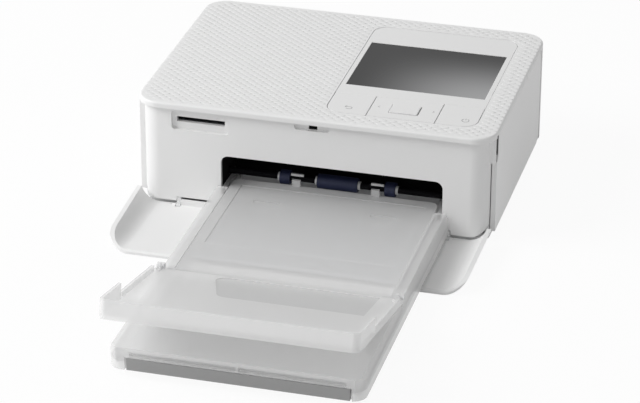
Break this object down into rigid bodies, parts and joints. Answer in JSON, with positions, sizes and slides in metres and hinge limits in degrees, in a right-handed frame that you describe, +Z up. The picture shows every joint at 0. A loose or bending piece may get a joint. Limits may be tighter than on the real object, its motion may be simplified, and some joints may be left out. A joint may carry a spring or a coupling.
{
  "type": "compact photo printer",
  "caption": "Desktop photo printer with a colour screen and keys on top, its front cover folded down and a paper cassette with an open lid standing out of its mouth.",
  "frame": {"origin": "on the table, under the middle of the whole length from the open paper cassette cover to the back, on the middle of the body width", "axes": "+X to the right seen from the front, +Y towards the back, +Z up"},
  "size_m": [0.1822, 0.3092, 0.0591],
  "materials": {
    "white_casing": "satin white moulded plastic, diamond grain on the top",
    "base_plastic": "light grey moulded plastic",
    "control_plastic": "smooth white plastic",
    "screen_glass": "grey tinted display window",
    "dark_electronics": "black plastic",
    "circuit_board": "green board with parts",
    "chassis_steel": "zinc plated sheet",
    "shaft_steel": "ground steel",
    "shaft_black": "blackened steel",
    "gear_plastic": "natural white acetal",
    "collar_plastic": "white plastic",
    "roller_rubber": "dark blue-black rubber",
    "roller_dark": "black rubber",
    "mouth_black": "matte black plastic",
    "foot_rubber": "black rubber",
    "ribbon_plastic": "dark grey plastic",
    "ribbon_film": "dyed film",
    "head_aluminium": "heat sink aluminium",
    "cassette_frosted": "frosted translucent plastic",
    "cassette_grey": "frosted light grey plastic",
    "bar_grey": "dark grey plastic",
    "brass": "turned brass"
  },
  "bodies": {
    "printer": {"top_cover": "white_casing", "control_panel": "control_plastic", "front_panel": "white_casing", "left_side_panel": "white_casing", "back_panel": "white_casing", "base_tray": "base_plastic", "ink_door_pins": "shaft_steel", "front_cover_pins": "shaft_steel", "rubber_feet": "foot_rubber", "case_screws": "chassis_steel", "screen_window": "screen_glass", "lcd_module": "dark_electronics", "key_board": "circuit_board", "left_frame": "chassis_steel", "right_frame": "chassis_steel", "feed_guide": "mouth_black", "guide_arms": "mouth_black", "guide_tips": "collar_plastic", "rear_paper_guide": "mouth_black", "head_pivot_shaft": "shaft_steel", "drive_motor": "chassis_steel", "motor_bracket": "chassis_steel", "main_board": "circuit_board", "card_connector": "chassis_steel", "dc_jack": "dark_electronics", "usb_port": "chassis_steel", "fan_frame": "dark_electronics"},
    "front_cover_body": {"front_cover": "white_casing"},
    "ink_door_body": {"ink_door": "white_casing"},
    "menu_key_body": {"menu_key": "control_plastic"},
    "power_key_body": {"power_key": "control_plastic"},
    "ok_key_body": {"ok_key": "control_plastic"},
    "rocker_body": {"navigation_rocker": "dark_electronics"},
    "pad_body": {"navigation_pad": "control_plastic"},
    "pickup_body": {"pickup_shaft": "shaft_black", "pickup_rollers": "roller_rubber", "roller_collars": "collar_plastic", "pickup_gear": "gear_plastic"},
    "idler_body": {"idler_gear": "gear_plastic"},
    "capstan_body": {"capstan_roller": "shaft_steel", "capstan_gear": "gear_plastic"},
    "pinch_body": {"pinch_roller": "roller_dark"},
    "platen_body": {"platen_roller": "roller_dark"},
    "pinion_body": {"motor_pinion": "brass"},
    "take_up_drive_body": {"take_up_drive": "gear_plastic"},
    "take_up_spool_body": {"take_up_spool": "ribbon_film"},
    "supply_spool_body": {"supply_spool": "ribbon_film"},
    "ribbon_body": {"ribbon_case": "ribbon_plastic", "ink_ribbon": "ribbon_film"},
    "head_body": {"print_head": "head_aluminium", "head_arm": "chassis_steel"},
    "fan_body": {"fan_impeller": "dark_electronics"},
    "cassette_body": {"cassette_tray": "cassette_grey", "cassette_frame": "cassette_frosted", "cassette_front_bar": "bar_grey", "cassette_hinge_pins": "shaft_steel", "lift_springs": "chassis_steel"},
    "inner_cover_body": {"cassette_inner_cover": "cassette_frosted"},
    "outer_cover_body": {"cassette_outer_cover": "cassette_frosted"},
    "lift_plate_body": {"lift_plate": "chassis_steel"}
  },
  "joints": [
    {"name": "front_cover_hinge", "type": "hinge", "parent": "printer", "child": "front_cover_body", "pos_m": [0, 0.02294, 0.0017], "axis": [-1, 0, 0], "range_deg": [0, 0.7]},
    {"name": "ink_door_hinge", "type": "hinge", "parent": "printer", "child": "ink_door_body", "pos_m": [0.0893, 0.13974, 0.03], "axis": [0, 0, 1], "range_deg": [0, 90]},
    {"name": "menu_key_press", "type": "slide", "parent": "printer", "child": "menu_key_body", "axis": [0, 0, -1], "range_m": [0, 0.0003], "stiffness_N_per_m": 1500, "springref_m": -0.0001},
    {"name": "power_key_press", "type": "slide", "parent": "printer", "child": "power_key_body", "axis": [0, 0, -1], "range_m": [0, 0.0003], "stiffness_N_per_m": 1500, "springref_m": -0.0001},
    {"name": "ok_key_press", "type": "slide", "parent": "printer", "child": "ok_key_body", "axis": [0, 0, -1], "range_m": [0, 0.0003], "stiffness_N_per_m": 1500, "springref_m": -0.0001},
    {"name": "pad_tilt_front_back", "type": "hinge", "parent": "printer", "child": "rocker_body", "pos_m": [0.04155, 0.04539, 0.0549], "axis": [1, 0, 0], "range_deg": [-1.2, 1.2], "stiffness_Nm_per_rad": 0.4},
    {"name": "pad_tilt_left_right", "type": "hinge", "parent": "rocker_body", "child": "pad_body", "pos_m": [0.04155, 0.04539, 0.0549], "axis": [0, 1, 0], "range_deg": [-1.2, 1.2], "stiffness_Nm_per_rad": 0.4},
    {"name": "capstan_spin", "type": "hinge", "parent": "printer", "child": "capstan_body", "pos_m": [0.0095, 0.06564, 0.0193], "axis": [1, 0, 0], "continuous": true},
    {"name": "pickup_spin", "type": "hinge", "parent": "printer", "child": "pickup_body", "pos_m": [0.0095, 0.03914, 0.0171], "axis": [1, 0, 0], "continuous": true},
    {"name": "idler_spin", "type": "hinge", "parent": "printer", "child": "idler_body", "pos_m": [-0.062, 0.04892, 0.02597], "axis": [1, 0, 0], "continuous": true},
    {"name": "pinion_spin", "type": "hinge", "parent": "printer", "child": "pinion_body", "pos_m": [-0.062, 0.0803, 0.01396], "axis": [1, 0, 0], "continuous": true},
    {"name": "take_up_drive_spin", "type": "hinge", "parent": "printer", "child": "take_up_drive_body", "pos_m": [-0.062, 0.07969, 0.03491], "axis": [1, 0, 0], "continuous": true},
    {"name": "pinch_spin", "type": "hinge", "parent": "printer", "child": "pinch_body", "pos_m": [0.0095, 0.06564, 0.0245], "axis": [1, 0, 0], "continuous": true},
    {"name": "platen_spin", "type": "hinge", "parent": "printer", "child": "platen_body", "pos_m": [0.0095, 0.09364, 0.0169], "axis": [1, 0, 0], "continuous": true},
    {"name": "ribbon_cassette_pull", "type": "slide", "parent": "printer", "child": "ribbon_body", "axis": [1, 0, 0], "range_m": [0, 0.003]},
    {"name": "take_up_spool_spin", "type": "hinge", "parent": "ribbon_body", "child": "take_up_spool_body", "pos_m": [0.0095, 0.07969, 0.03491], "axis": [1, 0, 0], "continuous": true},
    {"name": "supply_spool_spin", "type": "hinge", "parent": "ribbon_body", "child": "supply_spool_body", "pos_m": [0.0095, 0.10969, 0.03491], "axis": [1, 0, 0], "continuous": true},
    {"name": "print_head_press", "type": "hinge", "parent": "printer", "child": "head_body", "pos_m": [0.0095, 0.12764, 0.032], "axis": [1, 0, 0], "range_deg": [0, 5.5], "stiffness_Nm_per_rad": 1.5, "springref_deg": -3.44, "deforming": ["ink_ribbon"]},
    {"name": "fan_spin", "type": "hinge", "parent": "printer", "child": "fan_body", "pos_m": [-0.063, 0.14784, 0.027], "axis": [0, 1, 0], "continuous": true},
    {"name": "cassette_pull", "type": "slide", "parent": "printer", "child": "cassette_body", "axis": [0, -1, 0], "range_m": [0, 0.06]},
    {"name": "inner_cover_hinge", "type": "hinge", "parent": "cassette_body", "child": "inner_cover_body", "pos_m": [0.0095, -0.06186, 0.0134], "axis": [1, 0, 0], "range_deg": [0, 8]},
    {"name": "outer_cover_hinge", "type": "hinge", "parent": "cassette_body", "child": "outer_cover_body", "pos_m": [0.0095, -0.06886, 0.0177], "axis": [-1, 0, 0], "range_deg": [0, 150]},
    {"name": "lift_plate_hinge", "type": "hinge", "parent": "cassette_body", "child": "lift_plate_body", "pos_m": [0.0095, -0.03636, 0.0071], "axis": [1, 0, 0], "range_deg": [0, 3.5], "deforming": ["lift_springs"]}
  ],
  "couplings": [
    {"joint": "pinion_spin", "follows": "capstan_spin", "ratio": -3.3333},
    {"joint": "idler_spin", "follows": "capstan_spin", "ratio": -2},
    {"joint": "pickup_spin", "follows": "capstan_spin", "ratio": 1.6667},
    {"joint": "take_up_drive_spin", "follows": "capstan_spin", "ratio": -1.3333},
    {"joint": "take_up_spool_spin", "follows": "capstan_spin", "ratio": -1.3333},
    {"joint": "pinch_spin", "follows": "capstan_spin", "ratio": -1.0833}
  ]
}
